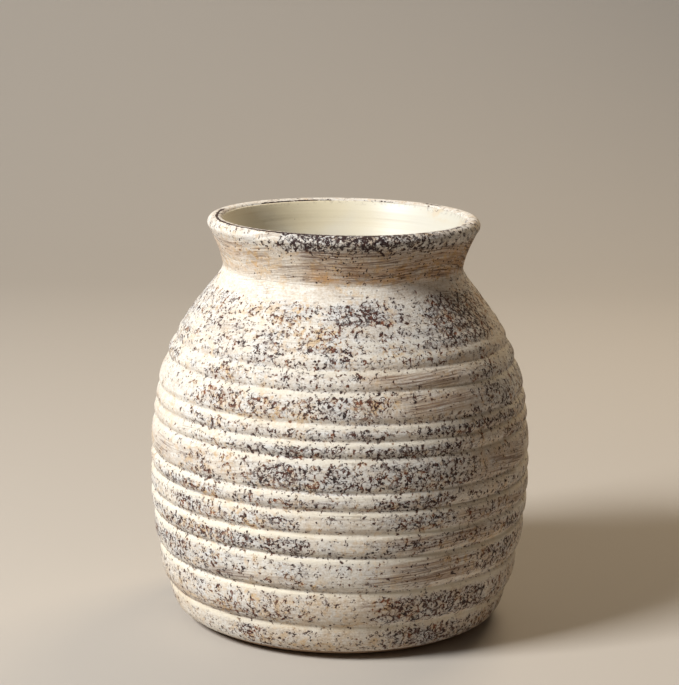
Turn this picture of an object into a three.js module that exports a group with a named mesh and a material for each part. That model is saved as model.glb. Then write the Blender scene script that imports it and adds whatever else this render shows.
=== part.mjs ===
// Stoneware vase: a thrown clay vessel with ringed sides and a thick flared lip, a glossy
// liner glaze inside and a matte painted coat outside.
// Millimetres, +Z up. The origin is the centre of the foot ring's resting face.

import * as THREE from 'three';

// ---------------------------------------------------------------- driving dimensions
const SEGMENTS = 32;            // facets round the axis
const COAT_THICKNESS = 0.6;     // outside coat
const GLAZE_THICKNESS = 0.6;    // liner glaze
const BOND_LINE = 0.3;          // clearance between the clay and each coat

const FOOT_OUTER_R = 70.0;      // outer edge of the flat foot ring
const FOOT_INNER_R = 57.0;      // inner edge of the flat foot ring
const FOOT_RECESS = 2.6;        // depth of the turned recess inside the foot ring
const BARE_CLAY_TOP = 3.0;      // the outside coat stops here, above the foot

const BELLY_R = 94.2;           // widest ring
const NECK_R = 59.0;            // outside of the neck at the crease
const NECK_Z = 175.8;
const LIP_R = 66.8;             // outermost point of the lip
const LIP_Z = 196.6;
const CREST_R = 62.9;           // highest point of the lip
const CREST_Z = 200.2;
const MOUTH_R = 59.5;           // inner edge of the lip, where the liner glaze begins
const MOUTH_Z = 198.9;
const FLOOR_Z = 9.4;            // glazed floor inside

// Throwing rings, from the foot up. Each band of clay starts at a groove, steps out to a
// ledge, and rounds in again below the next groove: [radius, height].
const FOOT_CURVE = [
  [76.2, BARE_CLAY_TOP], [79.9, 4.6], [82.4, 7.8], [83.9, 11.6], [84.8, 15.8],
];
const BANDS = [
  { groove: [84.7, 18.1], band: [[87.4, 21.6], [89.2, 27.0], [89.5, 33.6]] },
  { groove: [88.8, 36.5], band: [[91.3, 40.2], [92.5, 45.6], [92.5, 51.6]] },
  { groove: [91.6, 53.9], band: [[93.4, 57.2], [93.8, 62.8]] },
  { groove: [92.8, 65.4], band: [[94.1, 68.6], [94.0, 74.2]] },
  { groove: [93.0, 76.4], band: [[BELLY_R, 80.0], [93.9, 83.2]] },
  { groove: [92.8, 85.0], band: [[94.0, 88.4], [93.3, 98.0]] },
  { groove: [91.6, 101.3], band: [[92.7, 104.2], [92.0, 107.4]] },
  { groove: [90.8, 109.0], band: [[91.6, 111.8], [90.7, 115.1]] },
  { groove: [89.4, 116.8], band: [[90.1, 119.8], [88.6, 125.4], [86.6, 129.2]] },
  { groove: [85.1, 131.1], band: [[85.4, 134.2], [83.2, 138.4]] },
  { groove: [81.4, 140.3], band: [[80.8, 143.8]] },
];
const SHOULDER = [
  [77.3, 149.8], [72.5, 156.4], [67.2, 163.2], [62.2, 169.6], [59.7, 173.8],
];
const NECK = [
  [NECK_R, NECK_Z], [60.0, 180.4], [62.4, 187.2], [65.0, 193.0],
];
const LIP = [
  [LIP_R, LIP_Z], [66.2, 198.6], [64.8, 199.9], [CREST_R, CREST_Z], [60.6, 199.8], [MOUTH_R, MOUTH_Z],
];

// Inside of the pot from just under the inner edge of the lip down to the middle of the floor.
const INSIDE = [
  [MOUTH_R - 0.2, MOUTH_Z - 0.46], [58.2, 196.0], [55.4, 187.0], [53.0, 179.4], [52.6, 174.6], [54.6, 168.6],
  [60.7, 160.6], [68.6, 149.2], [74.8, 137.9], [79.6, 126.6], [83.6, 112.4], [86.2, 96.0],
  [87.2, 78.0], [86.5, 60.0], [84.2, 43.5], [80.6, 28.0], [76.0, 18.0], [69.0, 12.0],
  [58.0, FLOOR_Z + 0.6], [0, FLOOR_Z],
];

// ---------------------------------------------------------------- profiles
const OUTSIDE = [
  ...FOOT_CURVE,
  ...BANDS.flatMap(({ groove, band }) => [groove, ...band]),
  ...SHOULDER, ...NECK, ...LIP,
];

// A copy of a profile, moved sideways by distance. Positive is to the left of its direction
// of travel. Both ends keep their own segment's normal, and a point on the axis stays there.
function moved(profile, distance) {
  return profile.map(([r, z], i) => {
    const before = profile[Math.max(i - 1, 0)];
    const after = profile[Math.min(i + 1, profile.length - 1)];
    const a = new THREE.Vector2(r - before[0], z - before[1]);
    const b = new THREE.Vector2(after[0] - r, after[1] - z);
    if (a.lengthSq() === 0) a.copy(b);
    if (b.lengthSq() === 0) b.copy(a);
    a.normalize();
    b.normalize();
    const normal = new THREE.Vector2(-(a.y + b.y), a.x + b.x).normalize();
    const reach = distance / Math.max(normal.dot(new THREE.Vector2(-a.y, a.x)), 0.7);
    return r === 0 ? [0, z + distance * Math.sign(normal.y)] : [r + normal.x * reach, z + normal.y * reach];
  });
}

// A solid of revolution about +Z from a closed loop or an axis-to-axis profile.
function turned(profile) {
  const geometry = new THREE.LatheGeometry(profile.map(([r, z]) => new THREE.Vector2(r, z)), SEGMENTS);
  geometry.rotateX(Math.PI / 2);
  return geometry;
}

// The finished surface runs up the outside, over the lip and down the inside, so the wall is
// always on its left.
const SURFACE = [...OUTSIDE, ...INSIDE];
const coatBack = moved(SURFACE, COAT_THICKNESS).slice(0, OUTSIDE.length);
const glazeBack = moved(SURFACE, GLAZE_THICKNESS).slice(OUTSIDE.length);
const clay = moved(SURFACE, COAT_THICKNESS + BOND_LINE);

// ---------------------------------------------------------------- the vase
const vase = new THREE.Group();
vase.name = 'stoneware_vase';

function add(name, geometry, material) {
  const mesh = new THREE.Mesh(geometry, new THREE.MeshStandardMaterial(material));
  mesh.name = name;
  vase.add(mesh);
}

// Fired clay: floor, foot ring, ringed wall, shoulder, neck and lip. It shows bare on the
// foot and underneath.
add('stoneware_body', turned([
  [0, FOOT_RECESS],
  [FOOT_INNER_R - 2.5, FOOT_RECESS],
  [FOOT_INNER_R, 0],
  [FOOT_OUTER_R, 0],
  [73.4, 0.9],
  [75.8, BARE_CLAY_TOP - BOND_LINE],
  ...clay,
]), { color: 0xa98a6a, roughness: 0.9, metalness: 0 });

// Matte cream coat over the whole outside, ending above the foot and at the mouth.
add('exterior_coat', turned([...OUTSIDE, ...coatBack.reverse(), OUTSIDE[0]]),
  { color: 0xd8ccb6, roughness: 0.85, metalness: 0 });

// Glossy cream liner glaze over the whole inside.
add('interior_glaze', turned([...glazeBack.reverse(), ...INSIDE]),
  { color: 0xece3c8, roughness: 0.3, metalness: 0 });

export default vase;
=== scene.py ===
"""A thrown stoneware vase: ringed belly, short flared neck, thick worn lip.

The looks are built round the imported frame. Lengths in the tables are millimetres, as in the
CAD source; every mesh is made in metres, in the frame's own axes.
"""

import math

import bpy
import numpy as np
from mathutils import Matrix, Vector


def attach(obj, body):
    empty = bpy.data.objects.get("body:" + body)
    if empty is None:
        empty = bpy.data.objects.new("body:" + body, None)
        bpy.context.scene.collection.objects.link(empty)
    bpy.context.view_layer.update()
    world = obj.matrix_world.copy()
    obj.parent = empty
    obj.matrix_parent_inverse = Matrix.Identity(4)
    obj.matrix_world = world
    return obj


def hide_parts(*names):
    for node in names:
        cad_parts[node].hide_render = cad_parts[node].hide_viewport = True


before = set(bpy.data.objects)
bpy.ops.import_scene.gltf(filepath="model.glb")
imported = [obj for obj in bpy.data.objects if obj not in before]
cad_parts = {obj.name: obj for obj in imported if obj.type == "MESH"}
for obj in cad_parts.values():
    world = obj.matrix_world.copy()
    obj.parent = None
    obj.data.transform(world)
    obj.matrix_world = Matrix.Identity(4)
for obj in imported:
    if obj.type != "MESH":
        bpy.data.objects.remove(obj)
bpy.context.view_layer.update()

scene = bpy.context.scene
MM = 0.001

# --------------------------------------------------------------------------- camera
CAMERA_AT = (0.0, -1.01956, 0.35100)
PITCH = 0.207288  # downwards
YAW = 0.00107  # to the left
ROLL = math.radians(1.0)  # the picture leans clockwise
LENS = 110.4  # for a 36 mm long side


def make_camera():
    data = bpy.data.cameras.new("camera")
    data.sensor_fit = "AUTO"
    data.sensor_width = 36.0
    data.lens = LENS
    data.clip_start, data.clip_end = 0.05, 50.0
    ob = bpy.data.objects.new("camera", data)
    scene.collection.objects.link(ob)
    forward = Vector((-math.sin(YAW) * math.cos(PITCH), math.cos(YAW) * math.cos(PITCH), -math.sin(PITCH)))
    right = forward.cross(Vector((0, 0, 1))).normalized()
    up = right.cross(forward).normalized()
    turned_up = up * math.cos(ROLL) - right * math.sin(ROLL)
    turned_right = right * math.cos(ROLL) + up * math.sin(ROLL)
    m = Matrix((
        (turned_right.x, turned_up.x, -forward.x, CAMERA_AT[0]),
        (turned_right.y, turned_up.y, -forward.y, CAMERA_AT[1]),
        (turned_right.z, turned_up.z, -forward.z, CAMERA_AT[2]),
        (0, 0, 0, 1),
    ))
    ob.matrix_world = m
    scene.camera = ob


make_camera()

# --------------------------------------------------------------------------- profile, mm
COAT = 0.6
GLAZE = 0.6
BOND = 0.3
FOOT_OUTER_R = 70.0
FOOT_INNER_R = 57.0
FOOT_RECESS = 2.6
BARE_TOP = 3.0

FOOT_CURVE = [(76.2, 3.0), (79.9, 4.6), (82.4, 7.8), (83.9, 11.6), (84.8, 15.8)]
BANDS = [
    ((84.7, 18.1), [(87.4, 21.6), (89.2, 27.0), (89.5, 33.6)]),
    ((88.8, 36.5), [(91.3, 40.2), (92.5, 45.6), (92.5, 51.6)]),
    ((91.6, 53.9), [(93.4, 57.2), (93.8, 62.8)]),
    ((92.8, 65.4), [(94.1, 68.6), (94.0, 74.2)]),
    ((93.0, 76.4), [(94.2, 80.0), (93.9, 83.2)]),
    ((92.8, 85.0), [(94.0, 88.4), (93.3, 98.0)]),
    ((91.6, 101.3), [(92.7, 104.2), (92.0, 107.4)]),
    ((90.8, 109.0), [(91.6, 111.8), (90.7, 115.1)]),
    ((89.4, 116.8), [(90.1, 119.8), (88.6, 125.4), (86.6, 129.2)]),
    ((85.1, 131.1), [(85.4, 134.2), (83.2, 138.4)]),
    ((81.4, 140.3), [(80.8, 143.8)]),
]
SHOULDER = [(77.3, 149.8), (72.5, 156.4), (67.2, 163.2), (62.2, 169.6), (59.7, 173.8)]
NECK = [(59.0, 175.8), (60.0, 180.4), (62.4, 187.2), (65.0, 193.0)]
LIP = [(66.8, 196.6), (66.2, 198.6), (64.8, 199.9), (62.9, 200.2), (60.6, 199.8), (59.5, 198.9)]
INSIDE = [
    (59.3, 198.44), (58.2, 196.0), (55.4, 187.0), (53.0, 179.4), (52.6, 174.6), (54.6, 168.6),
    (60.7, 160.6), (68.6, 149.2), (74.8, 137.9), (79.6, 126.6), (83.6, 112.4), (86.2, 96.0),
    (87.2, 78.0), (86.5, 60.0), (84.2, 43.5), (80.6, 28.0), (76.0, 18.0), (69.0, 12.0),
    (58.0, 10.0), (30.0, 9.6), (0.0, 9.4),
]
# Faint rings on the shoulder: height, depth.
FAINT = [(147.4, 0.32), (153.4, 0.34), (159.4, 0.26)]


def curve(points, step=0.12):
    """Centripetal Catmull-Rom through the points, sampled about every step."""
    p = np.array(points, float)
    p = np.vstack([2 * p[0] - p[1], p, 2 * p[-1] - p[-2]])
    out = []
    for i in range(1, len(p) - 2):
        p0, p1, p2, p3 = p[i - 1 : i + 3]
        t0 = 0.0
        t1 = t0 + np.linalg.norm(p1 - p0) ** 0.5
        t2 = t1 + np.linalg.norm(p2 - p1) ** 0.5
        t3 = t2 + np.linalg.norm(p3 - p2) ** 0.5
        n = max(2, int(np.linalg.norm(p2 - p1) / step))
        t = np.linspace(t1, t2, n, endpoint=False)[:, None]
        a1 = (t1 - t) / (t1 - t0) * p0 + (t - t0) / (t1 - t0) * p1
        a2 = (t2 - t) / (t2 - t1) * p1 + (t - t1) / (t2 - t1) * p2
        a3 = (t3 - t) / (t3 - t2) * p2 + (t - t2) / (t3 - t2) * p3
        b1 = (t2 - t) / (t2 - t0) * a1 + (t - t0) / (t2 - t0) * a2
        b2 = (t3 - t) / (t3 - t1) * a2 + (t - t1) / (t3 - t1) * a3
        out.append((t2 - t) / (t2 - t1) * b1 + (t - t1) / (t2 - t1) * b2)
    out.append(p[-2][None, :])
    return np.vstack(out)


def resample(line, step):
    d = np.r_[0, np.cumsum(np.linalg.norm(np.diff(line, axis=0), axis=1))]
    s = np.linspace(0, d[-1], int(d[-1] / step) + 1)
    return np.stack([np.interp(s, d, line[:, k]) for k in range(2)], 1), s


def blurred(line, step, sigma):
    """The line, with its corners rounded over about sigma; its ends stay."""
    n = int(4 * sigma / step)
    k = np.exp(-0.5 * (np.arange(-n, n + 1) * step / sigma) ** 2)
    k /= k.sum()
    out = line.copy()
    for c in range(2):
        v = np.r_[2 * line[0, c] - line[n:0:-1, c], line[:, c], 2 * line[-1, c] - line[-2 : -n - 2 : -1, c]]
        out[:, c] = np.convolve(v, k, "valid")
    return out


STEP = 0.1


def finished_line():
    """The finished surface in the (r, z) plane: up the outside, over the lip, down the inside."""
    grooves = [g for g, _ in BANDS]
    runs = [FOOT_CURVE + [grooves[0]]]
    for i, (g, band) in enumerate(BANDS):
        end = [grooves[i + 1]] if i + 1 < len(BANDS) else SHOULDER + [NECK[0]]
        runs.append([g] + band + end)
    runs.append(NECK + LIP + INSIDE)
    line = np.vstack([curve(r)[(0 if i == 0 else 1):] for i, r in enumerate(runs)])
    line, s = resample(line, STEP)
    line = blurred(line, STEP, 0.42)
    line, s = resample(line, STEP)
    return line, s


LINE, S = finished_line()
TANGENT = np.gradient(LINE, axis=0)
TANGENT /= np.linalg.norm(TANGENT, axis=1)[:, None]
INTO_WALL = np.stack([-TANGENT[:, 1], TANGENT[:, 0]], 1)
CREST = int(np.argmax(LINE[:, 1]))
MOUTH_S = float(S[CREST + np.argmin(np.linalg.norm(LINE[CREST:] - np.array(LIP[-1]), axis=1))])


def s_at_height(z):
    """Distance along the outside to a height."""
    return float(np.interp(z, LINE[:CREST, 1], S[:CREST]))


GROOVE_S = [s_at_height(g[1]) for g, _ in BANDS]
RING_STRENGTH = [0.88, 1.02, 0.93, 0.84, 0.70, 0.55, 0.40, 0.36, 0.32, 0.24, 0.20]
FAINT_S = [(s_at_height(z), d) for z, d in FAINT]
NECK_S = s_at_height(NECK[0][1])
LIP_S = s_at_height(194.0)

# --------------------------------------------------------------------------- hand irregularity
TAU = 2 * math.pi


def waves(rng, s, theta, orders, length):
    """Slow random waviness round the pot whose phase drifts along the wall. s and theta broadcast together."""
    out = 0.0
    for n, amp in orders:
        a, b = rng.uniform(0, TAU, 2)
        drift = rng.uniform(0.6, 1.4) * TAU / length
        out = out + amp * (np.sin(n * theta + a + drift * s) * 0.6 + np.sin(n * theta + b - 0.7 * drift * s) * 0.4)
    return out


def wall_points(s, theta, depth=0.0, rng_seed=11):
    """(r, z) of the wall at distance s along the finished line and angle theta, depth mm inside the wall."""
    rng = np.random.default_rng(rng_seed)
    lively = np.clip((s - 6) / 14, 0, 1) * np.clip((MOUTH_S + 25 - s) / 25, 0, 1)  # still at the foot, calm deep inside
    slide = waves(rng, s, theta, [(1, 0.30), (2, 0.22), (3, 0.10), (5, 0.06)], 55.0) * lively
    swell = waves(rng, s, theta, [(2, 0.10), (3, 0.07), (5, 0.035), (8, 0.02)], 34.0) * lively
    ring = waves(rng, s, theta, [(1, 0.5), (2, 0.35), (4, 0.2)], 21.0)
    q = s + slide
    r = np.interp(q, S, LINE[:, 0])
    z = np.interp(q, S, LINE[:, 1])
    nr = np.interp(q, S, INTO_WALL[:, 0])
    nz = np.interp(q, S, INTO_WALL[:, 1])
    relief = -swell
    for i, g in enumerate(GROOVE_S):
        t = q - g
        k = RING_STRENGTH[i] * (1 + 0.6 * ring) * lively
        relief = relief + k * (0.27 * np.exp(-(((t - 0.35) / 0.85) ** 2)) - 0.16 * np.exp(-(((t + 1.7) / 1.15) ** 2))
                               - 0.12 * np.exp(-(((t - 3.4) / 1.5) ** 2)))
    for g, d in FAINT_S:
        t = q - g
        relief = relief + (d + 0.12 * ring) * np.where(t > 0, np.exp(-((t / 2.2) ** 2)), np.exp(-((t / 1.1) ** 2)))
    # one faint throwing ring inside the mouth, and slow ones deeper in the pot
    inner = np.clip((q - MOUTH_S - 2) / 4, 0, 1)
    relief = relief + inner * 0.10 * np.sin((q - MOUTH_S) * TAU / 9.5 + 0.6 * np.sin(theta)) * np.exp(-(q - MOUTH_S) / 90)
    # fine turning ripple that a rib leaves on the outside
    outer = np.clip((MOUTH_S - 8 - q) / 6, 0, 1) * lively
    relief = relief + outer * 0.035 * np.sin(q * TAU / 2.7 + 0.8 * np.sin(theta + 1.0) + 0.5 * np.sin(2 * theta))
    r = r + nr * (relief + depth)
    z = z + nz * (relief + depth)
    return r, z


def rows_between(s0, s1, fine=0.45, coarse=1.7, error=0.008):
    """Row positions along the line, closer where it bends."""
    k = np.linalg.norm(np.gradient(TANGENT, axis=0), axis=1) / STEP
    want = np.clip(np.sqrt(8 * error / np.maximum(k, 1e-4)), fine, coarse)
    n = 12
    want = np.array([want[max(0, i - n) : i + n + 1].min() for i in range(len(want))])
    m = (S >= s0 - 1e-9) & (S <= s1 + 1e-9)
    ss, w = S[m], want[m]
    cum = np.r_[0, np.cumsum(STEP / w[:-1])]
    count = int(math.ceil(cum[-1]))
    return np.interp(np.linspace(0, cum[-1], count + 1), cum, ss)


# --------------------------------------------------------------------------- decoration
# Where the coat is sponged, stained and brushed: angle from, angle to (degrees, -90 is the
# front), height from, height to (mm), strength.
SPONGED = [
    (-135, -102, 157, 164, 0.60), (-95, -73, 158, 168, 1.00), (-53, -20, 148, 170, 1.15), (-138, -66, 141, 158, 0.50),
    (-166, -138, 141, 168, 0.30), (-50, -25, 131, 139, 0.62), (-36, -20, 117, 125, 0.80), (-135, -72, 118, 129, 0.75),
    (-118, -72, 109, 115, 0.66), (-72, -15, 109, 115, 0.92), (-118, -88, 100, 107, 0.95), (-84, -44, 100, 107, 0.95),
    (-35, -15, 100, 107, 0.72), (-118, -44, 85, 99, 0.74), (-154, -127, 77, 82, 0.80), (-127, -92, 77, 82, 0.72),
    (-83, -52, 76, 82, 0.98), (-150, -100, 66, 74, 0.66), (-80, -51, 66, 74, 0.85),
    (-160, -96, 56, 63, 0.85), (-77, -37, 56, 63, 0.62), (-35, -17, 56, 63, 0.80),
    (-162, -138, 39, 52, 0.62), (-138, -92, 39, 52, 0.42), (-48, -18, 39, 52, 0.78), (-163, -145, 20, 33, 0.54),
    (-135, -105, 20, 33, 0.44), (-79, -37, 20, 33, 0.98), (-37, -24, 20, 33, 0.72), (-141, -106, 6, 16, 0.60),
    (-75, -44, 5, 17, 0.92), (-37, -19, 6, 15, 0.55), (-80, -50, 168, 175, 0.20), (-178, -160, 86, 98, 0.38),
]
STAINED = [
    (-104, -90, 150, 158, 0.95), (-78, -70, 146, 151, 0.95), (-70, -50, 142, 148, 0.60), (-136, -102, 157, 167, 0.42),
    (-135, -123, 133, 138, 0.75), (-83, -78, 136, 139, 0.85), (-135, -99, 118, 129, 0.46), (-83, -73, 121, 129, 0.65),
    (-64, -58, 116, 121, 0.75), (-138, -119, 89, 101, 0.40), (-138, -127, 77, 82, 1.00), (-119, -113, 66, 74, 0.85),
    (-132, -127, 66, 73, 0.95), (-138, -131, 59, 64, 0.85), (-51, -46, 66, 73, 0.65), (-57, -50, 47, 52, 0.80),
    (-100, -95, 38, 43, 0.65), (-135, -105, 20, 33, 0.50), (-98, -95, 28, 32, 0.65), (-79, -74, 25, 33, 0.90),
    (-123, -110, 6, 11, 0.80), (-106, -83, 6, 11, 0.60), (-37, -25, 6, 12, 0.60), (-163, -153, 182, 188, 0.50),
    (-146, -138, 187, 193, 0.60), (-92, -56, 178, 183, 0.75), (-31, -2, 184, 190, 0.80), (-175, -128, 179, 191, 0.45), (-90, -10, 176, 187, 0.70), (-104, -50, 176, 184, 1.0), (-48, -6, 178, 191, 0.9),
]
BRUSHED = [
    (-108, -2, 177, 193, 1.00), (-178, -108, 177, 193, 0.45), (-80, -48, 132, 140, 0.85), (-73, -44, 120, 129, 0.90),
    (-166, -117, 87, 99, 0.34), (-46, -15, 87, 99, 0.60), (-131, -92, 76, 83, 0.30), (-77, -37, 56, 64, 0.75),
    (-78, -48, 39, 52, 1.00), (-138, -102, 38, 44, 0.60), (-78, -68, 25, 33, 0.65), (-160, -117, 17, 25, 0.55),
    (-50, -15, 66, 74, 0.65), (-70, -15, 168, 176, 0.30),
]


def behind(seed, bands, low, high, share, widths):
    """Patches for the side that faces away, one set to each band of clay."""
    rng = np.random.default_rng(seed)
    out = []
    for z0, z1 in bands:
        at = rng.uniform(-14, 6)
        while at < 176:
            width = rng.uniform(*widths)
            if rng.random() < share:
                top = z1 - (z1 - z0) * rng.uniform(0.0, 0.25)
                bottom = z0 + (z1 - z0) * rng.uniform(0.0, 0.25)
                out.append((at, at + width, bottom, top, rng.uniform(low, high)))
            at += width * rng.uniform(0.8, 1.25)
    return out


BAND_HEIGHTS = [(5, 16), (20, 33), (39, 52), (56, 63), (66, 74), (77, 82), (86, 98), (101, 107), (109, 115),
                (118, 129), (131, 139), (141, 157), (157, 168)]
SPONGED += behind(3, BAND_HEIGHTS, 0.35, 1.0, 0.78, (18, 44))
STAINED += behind(7, BAND_HEIGHTS, 0.45, 1.0, 0.30, (5, 18))
BRUSHED += behind(9, BAND_HEIGHTS + [(178, 192)], 0.4, 0.95, 0.24, (24, 48)) + [(-4, 184, 178, 192, 0.75)]


def smooth(x):
    x = np.clip(x, 0, 1)
    return x * x * (3 - 2 * x)


def patches(table, theta_deg, z, soft_angle, soft_height):
    """Highest strength of the patches over each point, with soft edges."""
    out = np.zeros_like(z)
    for a0, a1, z0, z1, strength in table:
        mid, half = (a0 + a1) / 2, (a1 - a0) / 2
        d = np.abs((theta_deg - mid + 180) % 360 - 180)
        across = smooth((half + soft_angle - d) / (2 * soft_angle))
        up = smooth((z - z0 + soft_height) / (2 * soft_height)) * smooth((z1 + soft_height - z) / (2 * soft_height))
        out = np.maximum(out, strength * across * up)
    return out


WARM_THIN_COAT_AND_PAINTED_SHADE = [  # where the coat is thin and the clay warms it; the strong patches on the right side also carry painted shade, browning and darkening the side turned away from the key lamp
    (-114, -60, 0, 36, 0.85), (-60, -8, 2, 62, 0.85), (-84, -40, 116, 142, 0.75), (-180, -110, 176, 193, 0.45), (-112, -2, 176, 194, 0.85),
    (-146, -118, 86, 96, 0.28), (-178, -150, 100, 116, 0.35), (-150, -128, 143, 160, 0.40), (-52, -4, 64, 116, 0.85),
    (-108, -92, 55, 74, 0.35), (-172, -160, 4, 30, 0.55), (-30, -2, 140, 170, 0.60), (-124, -104, 110, 126, 0.20),
]
WARM_BEHIND = behind(17, [(2, 34), (38, 62), (66, 98), (101, 129), (131, 165)], 0.3, 0.8, 0.55, (20, 50))
WARM_BEHIND += [(-4, 184, 176, 193, 0.55)]
OPEN = [  # where the coat was left almost plain
    (-172, -87, 167.5, 178, 1.00), (-87, -30, 170, 178, 0.80), (-180, -142, 86, 129, 0.75), (-160, -138, 129, 141, 0.50),
    (-80, -46, 132, 140, 0.60), (-72, -44, 120, 128, 0.65), (-92, -78, 56, 74, 0.50), (-92, -46, 37, 52, 0.50),
    (-98, -78, 18, 33, 0.65), (-100, -80, 5, 16, 0.25), (-160, -136, 5, 24, 0.55), (-44, -10, 86, 98, 0.35),
]


def decoration(s, theta, z):
    """Vertex fields that the coat's material reads."""
    deg = np.degrees(theta)
    rng = np.random.default_rng(23)
    ledge = np.zeros_like(s)
    crease_wash_and_shade = np.zeros_like(s)
    for i, g in enumerate(GROOVE_S + [q for q, _ in FAINT_S]):
        k = 0.40 + 0.60 * RING_STRENGTH[i] if i < len(GROOVE_S) else 0.30
        k = k * np.clip(0.80 + waves(rng, s, theta, [(1, 0.20), (3, 0.22), (6, 0.16), (11, 0.10)], 60.0), 0, 1)
        t = s - g + waves(rng, s, theta, [(2, 0.25), (7, 0.16), (13, 0.12)], 60.0)
        ledge = np.maximum(ledge, k * smooth((t + 3.9) / 2.5) * smooth((-t + 0.1) / 0.6))
        # the band just above each groove, facing down: a wash left in the groove, and painted shade on the groove's
        # upper side
        crease_wash_and_shade = np.maximum(crease_wash_and_shade, k * np.exp(-(((t - 1.3) / 1.1) ** 2)))
    front = smooth((deg + 127) / 24) * smooth((-38 - deg) / 34)
    right = smooth((36 - np.abs((deg + 30 + 180) % 360 - 180)) / 18)
    back_left = smooth((28 - np.abs((deg - 117 + 180) % 360 - 180)) / 12)
    back_right = smooth((22 - np.abs((deg - 42 + 180) % 360 - 180)) / 14)
    around = 0.5 + waves(rng, s, theta, [(2, 0.3), (5, 0.3), (9, 0.25), (17, 0.2)], 400.0)
    lip = smooth((s - LIP_S + 6.0) / 7.0) * smooth((MOUTH_S + 0.6 - s) / 0.8)
    left = smooth((52 - np.abs((deg + 148 + 180) % 360 - 180)) / 22)
    top = S[CREST] - 1.0 + 2.1 * smooth((np.abs(deg + 90) - 62) / 30)
    crest = np.exp(-(((s - top) / 0.95) ** 2)) * np.clip(around - 0.10 + 0.95 * left + 0.5 * front, 0, 1)
    rim = np.exp(-(((s - MOUTH_S) / 1.0) ** 2)) * np.clip(1.1 - around, 0, 1)
    crest = np.maximum(crest, 0.95 * back_left * np.exp(-(((s - MOUTH_S + 0.3) / 0.8) ** 2)) * np.clip(around + 0.45, 0, 1))
    crest = np.maximum(crest, 0.58 * back_right * np.exp(-(((s - S[CREST] - 0.8) / 1.3) ** 2)) * np.clip(around + 0.2, 0, 1))
    high = smooth((z - 175) / 4)
    base = 0.44 * (1 - high) + 0.06 * high
    density = np.maximum(base, patches(SPONGED, deg, z, 9.0, 2.6)) * (1 - patches(OPEN, deg, z, 8.0, 2.4))
    density = density * (1 - 0.85 * smooth((s - LIP_S) / 3.0))
    return {
        "sponged": density,
        "stained": patches(STAINED, deg, z, 6.0, 2.6),
        "brushed": patches(BRUSHED, deg, z, 9.0, 1.8),
        "thin_coat_and_painted_shade": patches(WARM_THIN_COAT_AND_PAINTED_SHADE + WARM_BEHIND, deg, z, 12.0, 4.0),
        "ledge": ledge,
        "crease_wash_and_shade": crease_wash_and_shade,
        "lipwear": np.clip(lip * (0.04 + 0.82 * front + 0.42 * right + 0.20 * left) + 0.12 * crest + 0.60 * rim, 0, 1),
        "neck": smooth((z - 175.0) / 3.0) * smooth((197.0 - z) / 3.0),
        "crestline": crest,
        "slant": z + 3.2 * np.sin(2 * theta + 0.6) + 1.4 * np.sin(5 * theta + 2.0),
    }


# --------------------------------------------------------------------------- meshes
def lathe(name, rings, columns, closed_ring=True, start_axis=False, end_axis=False):
    """Quads between rings of points. rings is (rows, columns, 3) in mm; closed_ring joins the last row to the first."""
    rows = len(rings)
    verts = rings.reshape(-1, 3) * MM
    faces = []
    idx = np.arange(rows * columns).reshape(rows, columns)
    nxt = np.roll(idx, -1, axis=1)
    pairs = [(i, i + 1) for i in range(rows - 1)] + ([(rows - 1, 0)] if closed_ring else [])
    for a, b in pairs:
        faces.append(np.stack([idx[a], nxt[a], nxt[b], idx[b]], 1))
    faces = np.vstack(faces)
    extra = []
    verts = [verts]
    count = rows * columns
    for flag, row, up in ((start_axis, 0, True), (end_axis, rows - 1, False)):
        if flag:
            centre = rings[row].mean(0) * MM
            centre[:2] = 0
            verts.append(centre[None, :])
            for j in range(columns):
                tri = (idx[row][j], count, nxt[row][j])
                extra.append(tri if up else tri[::-1])
            count += 1
    verts = np.vstack(verts)
    mesh = bpy.data.meshes.new(name)
    mesh.from_pydata(verts.tolist(), [], faces.tolist() + [tuple(int(x) for x in e) for e in extra])
    mesh.update()
    mesh.polygons.foreach_set("use_smooth", [True] * len(mesh.polygons))
    ob = bpy.data.objects.new(name, mesh)
    scene.collection.objects.link(ob)
    return ob


def sharpen(ob, rows, columns):
    """Marks the rings of edges along these rows as sharp, where a shell's face turns into its rim."""
    mesh = ob.data
    ends = np.zeros(len(mesh.edges) * 2, np.int32)
    mesh.edges.foreach_get("vertices", ends)
    row = ends.reshape(-1, 2) // columns
    mesh.attributes.new("sharp_edge", "BOOLEAN", "EDGE").data.foreach_set(
        "value", (row[:, 0] == row[:, 1]) & np.isin(row[:, 0], rows))


def set_fields(ob, fields):
    for name, values in fields.items():
        v = np.zeros(len(ob.data.vertices), np.float32)
        flat = np.asarray(values, np.float32).ravel()
        v[: len(flat)] = flat
        ob.data.attributes.new(name, "FLOAT", "POINT").data.foreach_set("value", v)


def angles(columns):
    return -math.pi + np.arange(columns) * TAU / columns + 1e-4


def shell(name, s0, s1, columns, thickness, back_step=4):
    """A closed shell of the finished surface from s0 to s1 and its back, thickness mm inside the wall."""
    front = rows_between(s0, s1)
    back = np.r_[front[0], front[1:-1][::back_step], front[-1]][::-1]
    th = angles(columns)
    s = np.concatenate([front, back])
    depth = np.concatenate([np.zeros(len(front)), np.full(len(back), thickness)])
    r, z = wall_points(s[:, None], th[None, :], depth[:, None])
    rings = np.stack([r * np.cos(th), r * np.sin(th), z], -1)
    ob = lathe(name, rings, columns)
    sharpen(ob, [0, len(front) - 1, len(front), len(s) - 1], columns)
    set_fields(ob, decoration(np.broadcast_to(s[:, None], r.shape), np.broadcast_to(th[None, :], r.shape), z))
    return ob


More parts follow.
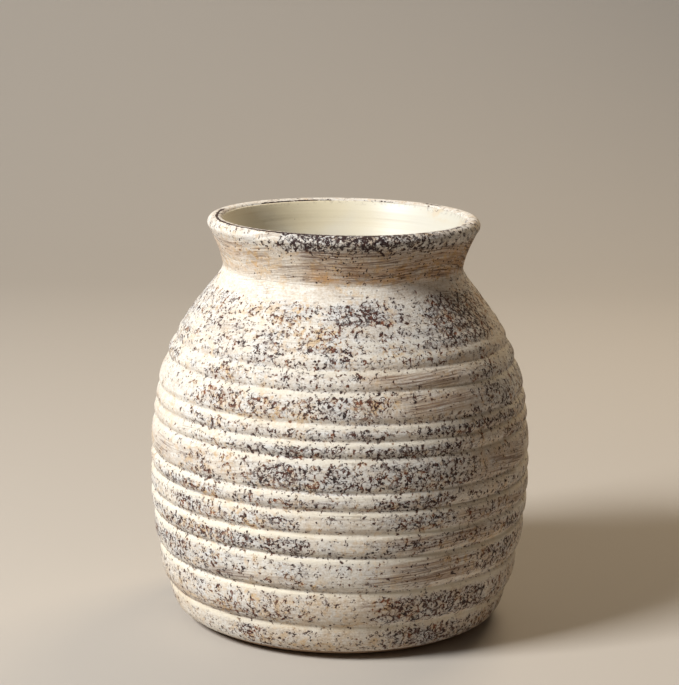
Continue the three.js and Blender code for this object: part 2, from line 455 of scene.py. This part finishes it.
# --------------------------------------------------------------------------- node helpers
class Graph:
    def __init__(self, name):
        self.material = bpy.data.materials.new(name)
        self.material.use_nodes = True
        self.tree = self.material.node_tree
        self.tree.nodes.clear()
        self.out = self.tree.nodes.new("ShaderNodeOutputMaterial")
        self.shader = self.tree.nodes.new("ShaderNodeBsdfPrincipled")
        self.tree.links.new(self.shader.outputs["BSDF"], self.out.inputs["Surface"])
        where = self.tree.nodes.new("ShaderNodeTexCoord")
        scale = self.tree.nodes.new("ShaderNodeVectorMath")
        scale.operation = "SCALE"
        self.tree.links.new(where.outputs["Object"], scale.inputs[0])
        scale.inputs["Scale"].default_value = 1000.0
        self.p = scale.outputs[0]  # position in mm
        split = self.tree.nodes.new("ShaderNodeSeparateXYZ")
        self.tree.links.new(self.p, split.inputs[0])
        self.x, self.y, self.z = split.outputs

    def put(self, socket, value):
        if isinstance(value, bpy.types.NodeSocket):
            self.tree.links.new(value, socket)
        elif isinstance(value, (tuple, list)) and len(value) == 3 and len(socket.default_value) == 4:
            socket.default_value = (*value, 1.0)
        else:
            socket.default_value = value

    def math(self, op, a, b=None, c=None, clamp=False):
        n = self.tree.nodes.new("ShaderNodeMath")
        n.operation, n.use_clamp = op, clamp
        for i, v in enumerate((a, b, c)):
            if v is not None:
                self.put(n.inputs[i], v)
        return n.outputs[0]

    def add(self, a, b):
        return self.math("ADD", a, b)

    def mul(self, a, b):
        return self.math("MULTIPLY", a, b)

    def sub(self, a, b):
        return self.math("SUBTRACT", a, b)

    def mad(self, a, b, c):
        return self.math("MULTIPLY_ADD", a, b, c)

    def high(self, a, b):
        return self.math("MAXIMUM", a, b)

    def low(self, a, b):
        return self.math("MINIMUM", a, b)

    def inv(self, a):
        return self.math("SUBTRACT", 1.0, a)

    def clamp(self, a):
        return self.math("ADD", a, 0.0, clamp=True)

    def step(self, x, lo, hi, to_lo=0.0, to_hi=1.0):
        n = self.tree.nodes.new("ShaderNodeMapRange")
        n.interpolation_type = "SMOOTHSTEP"
        self.put(n.inputs["Value"], x)
        self.put(n.inputs["From Min"], lo)
        self.put(n.inputs["From Max"], hi)
        self.put(n.inputs["To Min"], to_lo)
        self.put(n.inputs["To Max"], to_hi)
        return n.outputs["Result"]

    def scaled(self, vec, k):
        """vec times k per axis."""
        n = self.tree.nodes.new("ShaderNodeMapping")
        n.vector_type = "POINT"
        self.put(n.inputs["Vector"], vec)
        n.inputs["Scale"].default_value = k
        return n.outputs[0]

    def vec(self, x, y, z):
        n = self.tree.nodes.new("ShaderNodeCombineXYZ")
        for i, v in enumerate((x, y, z)):
            self.put(n.inputs[i], v)
        return n.outputs[0]

    def shift(self, vec, offset):
        n = self.tree.nodes.new("ShaderNodeVectorMath")
        n.operation = "ADD"
        self.put(n.inputs[0], vec)
        self.put(n.inputs[1], offset)
        return n.outputs[0]

    def noise(self, vec, per_mm, detail=2.0, rough=0.5, warp=0.0, colour=False):
        n = self.tree.nodes.new("ShaderNodeTexNoise")
        n.noise_dimensions = "3D"
        self.put(n.inputs["Vector"], vec)
        n.inputs["Scale"].default_value = per_mm
        n.inputs["Detail"].default_value = detail
        n.inputs["Roughness"].default_value = rough
        n.inputs["Distortion"].default_value = warp
        return n.outputs["Color" if colour else "Fac"]

    def warped(self, vec, per_mm, amount, detail=1.0):
        """vec pushed about by up to amount mm."""
        c = self.noise(vec, per_mm, detail, colour=True)
        n = self.tree.nodes.new("ShaderNodeVectorMath")
        n.operation = "MULTIPLY_ADD"
        self.put(n.inputs[0], c)
        n.inputs[1].default_value = (2 * amount,) * 3
        n.inputs[2].default_value = (-amount,) * 3
        return self.shift(vec, n.outputs[0])

    def cells(self, vec, per_mm, feature="F1", randomness=1.0):
        n = self.tree.nodes.new("ShaderNodeTexVoronoi")
        n.voronoi_dimensions = "3D"
        n.feature = feature
        self.put(n.inputs["Vector"], vec)
        n.inputs["Scale"].default_value = per_mm
        n.inputs["Randomness"].default_value = randomness
        return n

    def field(self, name):
        n = self.tree.nodes.new("ShaderNodeAttribute")
        n.attribute_type = "GEOMETRY"
        n.attribute_name = name
        return n.outputs["Fac"]

    def mix(self, fac, a, b, blend="MIX"):
        n = self.tree.nodes.new("ShaderNodeMix")
        n.data_type = "RGBA"
        n.blend_type = blend
        n.clamp_factor = True
        self.put(n.inputs[0], fac)
        self.put(n.inputs[6], a)
        self.put(n.inputs[7], b)
        return n.outputs[2]

    def bump(self, height_mm):
        n = self.tree.nodes.new("ShaderNodeBump")
        n.inputs["Strength"].default_value = 1.0
        n.inputs["Distance"].default_value = MM
        self.put(n.inputs["Height"], height_mm)
        self.tree.links.new(n.outputs[0], self.shader.inputs["Normal"])


# --------------------------------------------------------------------------- materials
CREAM = (0.715, 0.685, 0.620)
LEDGE_CREAM = (0.705, 0.652, 0.510)
COOL = (0.585, 0.605, 0.615)
WHITE = (0.800, 0.790, 0.760)
DARK = (0.016, 0.008, 0.009)
UMBER = (0.076, 0.030, 0.021)
RUST = (0.230, 0.072, 0.030)
OCHRE = (0.580, 0.370, 0.150)
TAN = (0.350, 0.235, 0.150)
CLAY_FILM = (0.455, 0.375, 0.290)
# warm brown of thin coat over clay, also used as painted shade on the right side
THIN_COAT_AND_SHADE_BROWN = (0.560, 0.390, 0.215)


def gate_for_dots(g, p):
    return g.noise(g.shift(p, (15.0, 28.0, 63.0)), 0.16, 3.0, 0.6)


def coat_material():
    g = Graph("painted_coat")
    p = g.p
    sponged, stained, brushed, thin_coat_and_painted_shade = (g.field(n) for n in ("sponged", "stained", "brushed", "thin_coat_and_painted_shade"))
    ledge, crease_wash_and_shade, lipwear, slant = (g.field(n) for n in ("ledge", "crease_wash_and_shade", "lipwear", "slant"))
    crestline, neck = g.field("crestline"), g.field("neck")

    slow = g.noise(p, 0.020, 2.0, 0.5)
    patchy = g.noise(g.shift(p, (31.0, 7.0, 3.0)), 0.060, 2.0, 0.55)
    mottle = g.noise(g.shift(p, (5.0, 17.0, 9.0)), 0.20, 3.0, 0.6)
    grain = g.noise(p, 2.2, 2.0, 0.6)

    # how thickly the sponge marks lie here
    uneven = g.add(g.mul(g.sub(patchy, 0.5), 0.9), g.mul(g.sub(mottle, 0.5), 1.0))
    density = g.mad(uneven, g.step(sponged, 0.0, 0.42), sponged)
    density = g.mul(g.math("MAXIMUM", density, 0.0), g.inv(g.mul(ledge, 0.90)))
    density = g.add(density, g.mul(lipwear, 0.70))

    # broken crackle lines
    q = g.warped(p, 0.60, 1.1)
    edge = g.cells(q, 1 / 3.5, "DISTANCE_TO_EDGE").outputs["Distance"]
    thick = g.noise(g.shift(p, (3.0, 40.0, 12.0)), 0.62, 1.5, 0.6)
    half = g.mad(thick, 0.46, g.mad(density, 0.05, -0.140))
    half = g.mad(lipwear, 0.045, half)
    line = g.step(g.sub(edge, half), -0.015, 0.035, 1.0, 0.0)
    gate = g.noise(g.shift(p, (50.0, 3.0, 22.0)), 0.40, 1.5, 0.6)
    limit = g.mad(density, -0.32, 0.682)
    line = g.mul(line, g.step(g.sub(gate, limit), -0.012, 0.02))
    broken = g.noise(g.shift(p, (33.0, 71.0, 18.0)), 0.66, 1.5, 0.5)
    line = g.mul(line, g.step(g.mad(lipwear, 0.08, broken), 0.445, 0.485))

    # curled strokes
    n = g.noise(g.shift(p, (9.0, 80.0, 4.0)), 0.34, 2.0, 0.55, 0.5)
    curl = g.step(g.math("ABSOLUTE", g.sub(n, 0.5)), 0.015, 0.036, 1.0, 0.0)
    gate2 = g.noise(g.shift(p, (19.0, 13.0, 62.0)), 0.46, 1.5, 0.6)
    curl = g.mul(curl, g.step(g.sub(gate2, g.mad(density, -0.33, 0.684)), -0.012, 0.02))

    # single dabs
    dabs = g.cells(g.warped(p, 0.8, 0.8), 1 / 2.0, "F1")
    pick = g.tree.nodes.new("ShaderNodeSeparateColor")
    g.tree.links.new(dabs.outputs["Color"], pick.inputs[0])
    size = g.mad(pick.outputs[1], 0.22, 0.16)
    dab = g.step(g.sub(dabs.outputs["Distance"], size), -0.04, 0.06, 1.0, 0.0)
    dab = g.mul(dab, g.step(g.sub(g.mad(density, 0.18, 0.0), pick.outputs[0]), 0.0, 0.02))

    speck = g.high(g.high(line, curl), dab)
    strength = g.step(g.noise(g.shift(p, (70.0, 20.0, 2.0)), 0.30, 2.0, 0.6), 0.36, 0.50, 0.62, 1.0)
    strength = g.high(strength, g.step(density, 0.75, 1.1, 0.0, 0.9))
    speck = g.mul(speck, g.mul(strength, g.step(density, 0.015, 0.10)))

    # brush lines round the pot, fine ones and broad ones
    hair = g.noise(g.vec(g.mul(g.x, 0.034), g.mul(g.y, 0.034), g.mul(slant, 1.35)), 1.0, 4.0, 0.74)
    hair_gate = g.noise(g.vec(g.mul(g.x, 0.050), g.mul(g.y, 0.050), g.mul(slant, 0.15)), 1.0, 2.0)
    hairs = g.mul(g.step(hair, 0.48, 0.60), g.step(g.add(hair_gate, g.mul(brushed, 0.40)), 0.50, 0.84))
    fibre = g.noise(g.vec(g.mul(g.x, 0.20), g.mul(g.y, 0.20), g.mul(slant, 1.9)), 1.0, 2.0, 0.65)
    broad = g.noise(g.vec(g.mul(g.x, 0.026), g.mul(g.y, 0.026), g.mul(slant, 0.42)), 1.0, 3.0, 0.6)
    broads = g.mul(g.step(broad, 0.36, 0.62), g.mul(brushed, g.mad(neck, -0.30, 1.0)))
    crumb = g.noise(g.shift(p, (44.0, 11.0, 71.0)), 0.95, 2.5, 0.68)

    # the neck: short dark streaks and fine dots
    short = g.noise(g.vec(g.mul(g.x, 0.095), g.mul(g.y, 0.095), g.mul(slant, 1.15)), 1.0, 3.0, 0.66)
    streak_gate = g.noise(g.vec(g.mul(g.x, 0.06), g.mul(g.y, 0.06), g.mad(slant, 0.11, 5.0)), 1.0, 2.0)
    streaks = g.mul(g.step(short, 0.505, 0.565), g.mul(g.mul(neck, brushed), g.step(streak_gate, 0.40, 0.60, 0.25, 1.0)))
    dots = g.cells(g.warped(p, 1.3, 0.5), 1 / 1.35, "F1")
    chosen = g.tree.nodes.new("ShaderNodeSeparateColor")
    g.tree.links.new(dots.outputs["Color"], chosen.inputs[0])
    dot_share = g.mul(g.mul(neck, g.step(brushed, 0.5, 1.0, 0.35, 1.0)), g.step(gate_for_dots(g, p), 0.40, 0.62, 0.06, 0.80))
    dot_share = g.high(dot_share, g.mul(g.mul(g.step(sponged, 0.20, 0.45), g.inv(neck)), 0.035))
    dot = g.step(g.sub(dots.outputs["Distance"], g.mad(chosen.outputs[1], 0.24, 0.16)), -0.05, 0.06, 1.0, 0.0)
    dot = g.mul(dot, g.step(g.sub(dot_share, chosen.outputs[0]), 0.0, 0.02))

    # the coat itself
    plain = g.inv(g.mul(ledge, 0.85))
    cool = g.mul(g.step(g.add(g.mul(density, 0.55), g.mul(patchy, 0.7)), 0.38, 0.78), plain)
    colour = g.mix(g.mul(cool, 0.85), CREAM, COOL)
    # thin coat's warm brown mixed with painted shade: strongest on the right side, away from the key lamp
    thin_coat_and_shade_mix = g.mul(thin_coat_and_painted_shade, g.step(g.noise(g.shift(p, (81.0, 2.0, 14.0)), 0.11, 4.0, 0.62), 0.36, 0.62, 0.25, 1.0))
    colour = g.mix(g.mul(thin_coat_and_shade_mix, 0.62), colour, THIN_COAT_AND_SHADE_BROWN)
    film = g.mul(g.step(g.noise(g.shift(p, (61.0, 5.0, 44.0)), 0.085, 3.0, 0.6), 0.45, 0.64), plain)
    colour = g.mix(g.mul(film, 0.30), colour, CLAY_FILM)
    colour = g.mix(g.mul(g.step(mottle, 0.50, 0.66), 0.35), colour, WHITE)
    colour = g.mix(g.mul(g.mul(g.step(crumb, 0.50, 0.64), plain), 0.40), colour, CLAY_FILM)
    colour = g.mix(g.mul(g.step(crumb, 0.48, 0.38), 0.35), colour, WHITE)
    colour = g.mix(g.mul(g.mul(g.step(fibre, 0.47, 0.62), plain), 0.28), colour, CLAY_FILM)
    colour = g.mix(g.mul(g.step(fibre, 0.46, 0.34), 0.25), colour, WHITE)
    colour = g.mix(g.mul(broads, 0.66), colour, TAN)
    fleck_gate = g.step(g.noise(g.shift(p, (12.0, 93.0, 7.0)), 0.30, 3.0, 0.65), 0.48, 0.62)
    wide_gate = g.step(g.noise(g.shift(p, (27.0, 9.0, 70.0)), 0.060, 2.0, 0.6), 0.46, 0.62, 0.12, 0.62)
    stain = g.mul(fleck_gate, g.mul(g.clamp(g.add(stained, wide_gate)), g.inv(g.mul(ledge, 0.6))))
    colour = g.mix(g.mul(stain, 0.66), colour, OCHRE)
    colour = g.mix(g.mul(hairs, 0.70), colour, g.mix(g.step(patchy, 0.40, 0.60), UMBER, (0.130, 0.055, 0.026)))
    tinge = g.noise(g.vec(g.mul(g.x, 0.05), g.mul(g.y, 0.05), g.mad(slant, 0.30, 9.0)), 1.0, 3.0, 0.6)
    tinge = g.mul(g.mul(neck, stained), g.step(tinge, 0.40, 0.62))
    colour = g.mix(g.mul(tinge, 0.55), colour, (0.500, 0.270, 0.115))
    colour = g.mix(g.mul(streaks, 0.80), colour, (0.075, 0.034, 0.020))
    colour = g.mix(g.mul(dot, 0.95), colour, (0.028, 0.014, 0.012))
    # tan just above each groove: partly a wash left in the groove, partly painted shade on its downward-facing side
    colour = g.mix(g.mul(crease_wash_and_shade, g.step(patchy, 0.30, 0.60, 0.10, 0.24)), colour, TAN)
    colour = g.mix(g.mul(ledge, g.step(crumb, 0.62, 0.45, 0.30, 0.70)), colour, LEDGE_CREAM)

    # colour of the dark that shows through
    rust_gate = g.step(g.noise(g.shift(p, (2.0, 66.0, 31.0)), 0.15, 3.0, 0.6), 0.51, 0.63)
    rusty = g.clamp(g.add(g.mul(stained, 0.50), g.mul(rust_gate, 0.70)))
    tone = g.noise(g.shift(p, (8.0, 1.0, 90.0)), 0.50, 2.5, 0.6)
    under = g.mix(g.step(tone, 0.38, 0.60), DARK, UMBER)
    under = g.mix(g.mul(rusty, g.step(g.add(tone, g.mul(mottle, 0.5)), 0.68, 0.86, 0.15, 1.0)), under, RUST)

    # the worn lip: dark, with pale flecks of coat left on it
    wear = g.noise(g.warped(p, 0.6, 1.0), 0.52, 4.0, 0.70)
    worn = g.mul(g.step(g.add(wear, g.mul(lipwear, 0.29)), 0.735, 0.775), g.step(lipwear, 0.02, 0.15))
    fleck = g.cells(g.warped(p, 0.7, 1.0), 1 / 2.7, "F1")
    keep = g.step(g.sub(fleck.outputs["Distance"], g.mad(thick, 0.60, 0.06)), -0.04, 0.06, 1.0, 0.0)
    worn = g.mul(worn, g.inv(g.mul(keep, 0.92)))
    thin_wear = g.noise(g.warped(p, 0.5, 0.6), 0.34, 2.5, 0.6)
    worn = g.high(worn, g.step(g.add(thin_wear, g.mul(crestline, 0.58)), 0.84, 0.90))
    under = g.mix(g.mul(g.step(g.add(lipwear, crestline), 0.05, 0.30), 0.75), under, (0.020, 0.008, 0.010))
    speck = g.high(speck, worn)

    halo = g.step(g.sub(edge, half), 0.0, 0.22, 1.0, 0.0)
    halo = g.mul(halo, g.step(g.sub(gate, limit), -0.06, 0.02))
    colour = g.mix(g.mul(halo, 0.20), colour, UMBER)
    colour = g.mix(g.mul(g.mul(halo, rusty), 0.45), colour, OCHRE)
    colour = g.mix(g.clamp(g.mul(speck, 0.98)), colour, under)
    g.put(g.shader.inputs["Base Color"], colour)

    rough = g.mad(grain, 0.12, 0.72)
    rough = g.sub(rough, g.mul(speck, 0.10))
    g.put(g.shader.inputs["Roughness"], rough)
    g.shader.inputs["Specular IOR Level"].default_value = 0.25

    height = g.mul(speck, -0.12)
    height = g.add(height, g.mul(g.high(hairs, g.high(streaks, dot)), -0.06))
    height = g.add(height, g.mul(broad, 0.14))
    height = g.add(height, g.mul(fibre, 0.16))
    height = g.add(height, g.mul(mottle, 0.28))
    height = g.add(height, g.mul(crumb, 0.12))
    height = g.add(height, g.mul(grain, 0.05))
    g.bump(height)
    return g.material


def glaze_material():
    g = Graph("liner_glaze")
    p = g.p
    slow = g.noise(p, 0.03, 2.0)
    rings = g.noise(g.vec(g.mul(g.x, 0.008), g.mul(g.y, 0.008), g.mul(g.z, 0.33)), 1.0, 2.0, 0.5)
    fine = g.noise(p, 0.9, 2.0, 0.6)
    colour = g.mix(g.step(slow, 0.35, 0.65), (0.735, 0.665, 0.485), (0.735, 0.690, 0.560))
    # painted light: thick below marks the inside wall towards +X, lit by the key lamp, and gives it a greyer, less
    # yellow colour than the shaded wall opposite
    thick = g.step(g.mad(slow, 60.0, g.x), 0.0, 75.0)
    colour = g.mix(g.mul(thick, 0.85), colour, (0.600, 0.592, 0.535))
    colour = g.mix(g.mul(g.step(rings, 0.48, 0.70), 0.16), colour, (0.62, 0.53, 0.36))
    spots = g.cells(g.warped(p, 0.8, 0.5), 1 / 5.0, "F1")
    pick = g.tree.nodes.new("ShaderNodeSeparateColor")
    g.tree.links.new(spots.outputs["Color"], pick.inputs[0])
    spot = g.mul(g.step(spots.outputs["Distance"], 0.05, 0.11, 1.0, 0.0), g.step(pick.outputs[0], 0.93, 0.95))
    near_lip = g.step(g.z, 186.0, 198.0)
    spot = g.mul(spot, g.add(0.25, g.mul(near_lip, 0.75)))
    colour = g.mix(g.mul(spot, 0.75), colour, UMBER)
    places = g.step(g.noise(g.shift(p, (4.0, 4.0, 77.0)), 0.022, 1.0), 0.46, 0.58)
    stain = g.mul(g.step(g.z, 190.5, 198.6), g.mul(places, g.step(g.noise(p, 0.20, 3.0, 0.6), 0.40, 0.60)))
    colour = g.mix(g.mul(stain, 0.40), colour, (0.60, 0.40, 0.17))
    edge_wear = g.mul(g.step(g.z, 196.4, 198.6), g.step(g.noise(p, 0.55, 3.0, 0.6), 0.53, 0.62))
    edge_wear = g.mul(edge_wear, g.high(places, 0.25))
    colour = g.mix(g.mul(edge_wear, 0.85), colour, (0.080, 0.026, 0.016))
    g.put(g.shader.inputs["Base Color"], colour)
    g.put(g.shader.inputs["Roughness"], g.mad(fine, 0.10, 0.38))
    g.shader.inputs["Specular IOR Level"].default_value = 0.4
    g.bump(g.add(g.mul(rings, 0.22), g.mul(fine, 0.02)))
    return g.material


def clay_material():
    g = Graph("bare_clay")
    p = g.p
    radius = g.math("SQRT", g.add(g.mul(g.x, g.x), g.mul(g.y, g.y)))
    turning = g.noise(g.vec(g.mul(radius, 0.9), g.mul(g.z, 0.9), 0.0), 1.0, 3.0, 0.6)
    cloud = g.noise(p, 0.05, 3.0, 0.6)
    grain = g.noise(p, 1.6, 3.0, 0.7)
    colour = g.mix(g.step(cloud, 0.35, 0.65), (0.340, 0.220, 0.135), (0.430, 0.290, 0.185))
    colour = g.mix(g.mul(g.step(turning, 0.40, 0.65), 0.25), colour, (0.255, 0.160, 0.095))
    colour = g.mix(g.mul(g.step(grain, 0.60, 0.72), 0.35), colour, (0.52, 0.41, 0.29))
    grog = g.cells(p, 1 / 2.0, "F1")
    pick = g.tree.nodes.new("ShaderNodeSeparateColor")
    g.tree.links.new(grog.outputs["Color"], pick.inputs[0])
    bits = g.mul(g.step(grog.outputs["Distance"], 0.10, 0.22, 1.0, 0.0), g.step(pick.outputs[0], 0.82, 0.86))
    colour = g.mix(g.mul(bits, 0.7), colour, (0.085, 0.045, 0.028))
    g.put(g.shader.inputs["Base Color"], colour)
    g.put(g.shader.inputs["Roughness"], g.mad(grain, 0.14, 0.80))
    g.shader.inputs["Specular IOR Level"].default_value = 0.3
    g.bump(g.add(g.mul(turning, 0.28), g.add(g.mul(grain, 0.05), g.mul(bits, -0.06))))
    return g.material


# --------------------------------------------------------------------------- the vase
COLUMNS = 480
coat = coat_material()
glaze = glaze_material()
clay = clay_material()

CUTS = [0.0, GROOVE_S[4], NECK_S, MOUTH_S]
NAMES = ["coat_lower_rings", "coat_upper_rings", "coat_neck_and_lip"]
for name, s0, s1 in zip(NAMES, CUTS, CUTS[1:]):
    piece = shell(name, s0, s1, COLUMNS, COAT)
    piece.data.materials.append(coat)
    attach(piece, "root")
    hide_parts("exterior_coat")


def make_liner():
    """The liner glaze: a closed cup-shaped skin from the mouth to the middle of the floor."""
    columns = 288
    end = S[-1] - 3.0
    front = rows_between(MOUTH_S, end, fine=0.5, coarse=3.0)
    back = front[::-3]
    th = angles(columns)
    r0, z0 = wall_points(front[:, None], th[None, :], 0.0)
    r1, z1 = wall_points(back[:, None], th[None, :], GLAZE)
    r, z = np.vstack([r1, r0]), np.vstack([z1, z0])
    rings = np.stack([r * np.cos(th), r * np.sin(th), z], -1)
    return lathe("liner_glaze", rings, columns, closed_ring=False, start_axis=True, end_axis=True)


liner = make_liner()
liner.data.materials.append(glaze)
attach(liner, "root")
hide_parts("interior_glaze")


def make_clay():
    """The fired clay: turned foot, floor, and the wall between the two coats."""
    columns = 288
    th = angles(columns)
    under = [(2.0, 2.55), (20, 2.5), (40, 2.45), (51.5, 2.4), (53.6, 2.15), (55.2, 1.45), (56.2, 0.6), (56.9, 0.12), (57.8, 0.0),
             (60.0, 0.0), (64.0, 0.0), (68.2, 0.0), (69.4, 0.10), (70.6, 0.38), (72.0, 0.72), (73.6, 1.2), (74.8, 1.85), (75.5, 2.45),
             (75.85, 2.85)]
    under = curve(under, 0.6)
    r_u = np.repeat(under[:, :1], columns, 1)
    z_u = np.repeat(under[:, 1:], columns, 1)
    z_u = np.maximum(z_u, 0)
    rows_out = np.r_[0.35, rows_between(1.5, MOUTH_S - 1.0, fine=0.9, coarse=2.6)]
    r_o, z_o = wall_points(rows_out[:, None], th[None, :], COAT + BOND)
    rows_in = rows_between(MOUTH_S + 1.0, S[-1] - 3.0, fine=1.5, coarse=5.0)
    r_i, z_i = wall_points(rows_in[:, None], th[None, :], GLAZE + BOND)
    r, z = np.vstack([r_u, r_o, r_i]), np.vstack([z_u, z_o, z_i])
    rings = np.stack([r * np.cos(th), r * np.sin(th), z], -1)
    return lathe("bare_clay_body", rings, columns, closed_ring=False, start_axis=True, end_axis=True)


body = make_clay()
body.data.materials.append(clay)
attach(body, "root")
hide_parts("stoneware_body")

# --------------------------------------------------------------------------- stage
def make_stage():
    mesh = bpy.data.meshes.new("floor")
    pts, faces = [], []
    profile = [(-6.0, 0.0), (0.9, 0.0)]
    for i in range(1, 13):
        a = math.pi / 2 * i / 12
        profile.append((0.9 + 0.8 * math.sin(a), 0.8 * (1 - math.cos(a))))
    profile.append((1.7, 5.0))
    for y, z in profile:
        pts += [(-6.0, y, z - 0.0002), (6.0, y, z - 0.0002)]
    for i in range(len(profile) - 1):
        faces.append((2 * i, 2 * i + 1, 2 * i + 3, 2 * i + 2))
    mesh.from_pydata(pts, [], faces)
    mesh.polygons.foreach_set("use_smooth", [True] * len(mesh.polygons))
    ob = bpy.data.objects.new("floor", mesh)
    scene.collection.objects.link(ob)
    m = bpy.data.materials.new("floor")
    m.use_nodes = True
    b = m.node_tree.nodes["Principled BSDF"]
    b.inputs["Base Color"].default_value = (0.47, 0.435, 0.39, 1)
    b.inputs["Roughness"].default_value = 0.75
    mesh.materials.append(m)


make_stage()


def area(name, at, look, size, power, colour):
    data = bpy.data.lights.new(name, "AREA")
    data.shape = "RECTANGLE"
    data.size, data.size_y = size
    data.energy = power
    data.color = colour
    ob = bpy.data.objects.new(name, data)
    scene.collection.objects.link(ob)
    at, look = Vector(at), Vector(look)
    ob.location = at
    ob.rotation_mode = "QUATERNION"
    ob.rotation_quaternion = (look - at).to_track_quat("-Z", "Y")
    return ob


area("key", (-1.3265, -0.8144, 1.37), (0, 0, 0.10), (0.6, 0.6), 61.0, (1.0, 0.985, 0.965))
area("fill", (1.6, -1.4, 0.5), (0, 0, 0.10), (1.4, 1.4), 1.5, (1.0, 0.55, 0.28))
area("back", (0.45, 0.75, 1.0), (0, 0, 0.18), (0.5, 0.5), 6.5, (1.0, 0.80, 0.55))
world = bpy.data.worlds.new("studio")
scene.world = world
world.use_nodes = True
bg = world.node_tree.nodes.get("Background") or world.node_tree.nodes.new("ShaderNodeBackground")
bg.inputs["Color"].default_value = (1.0, 0.86, 0.72, 1)
bg.inputs["Strength"].default_value = 0.050

scene.view_settings.view_transform = "Standard"
scene.view_settings.look = "None"
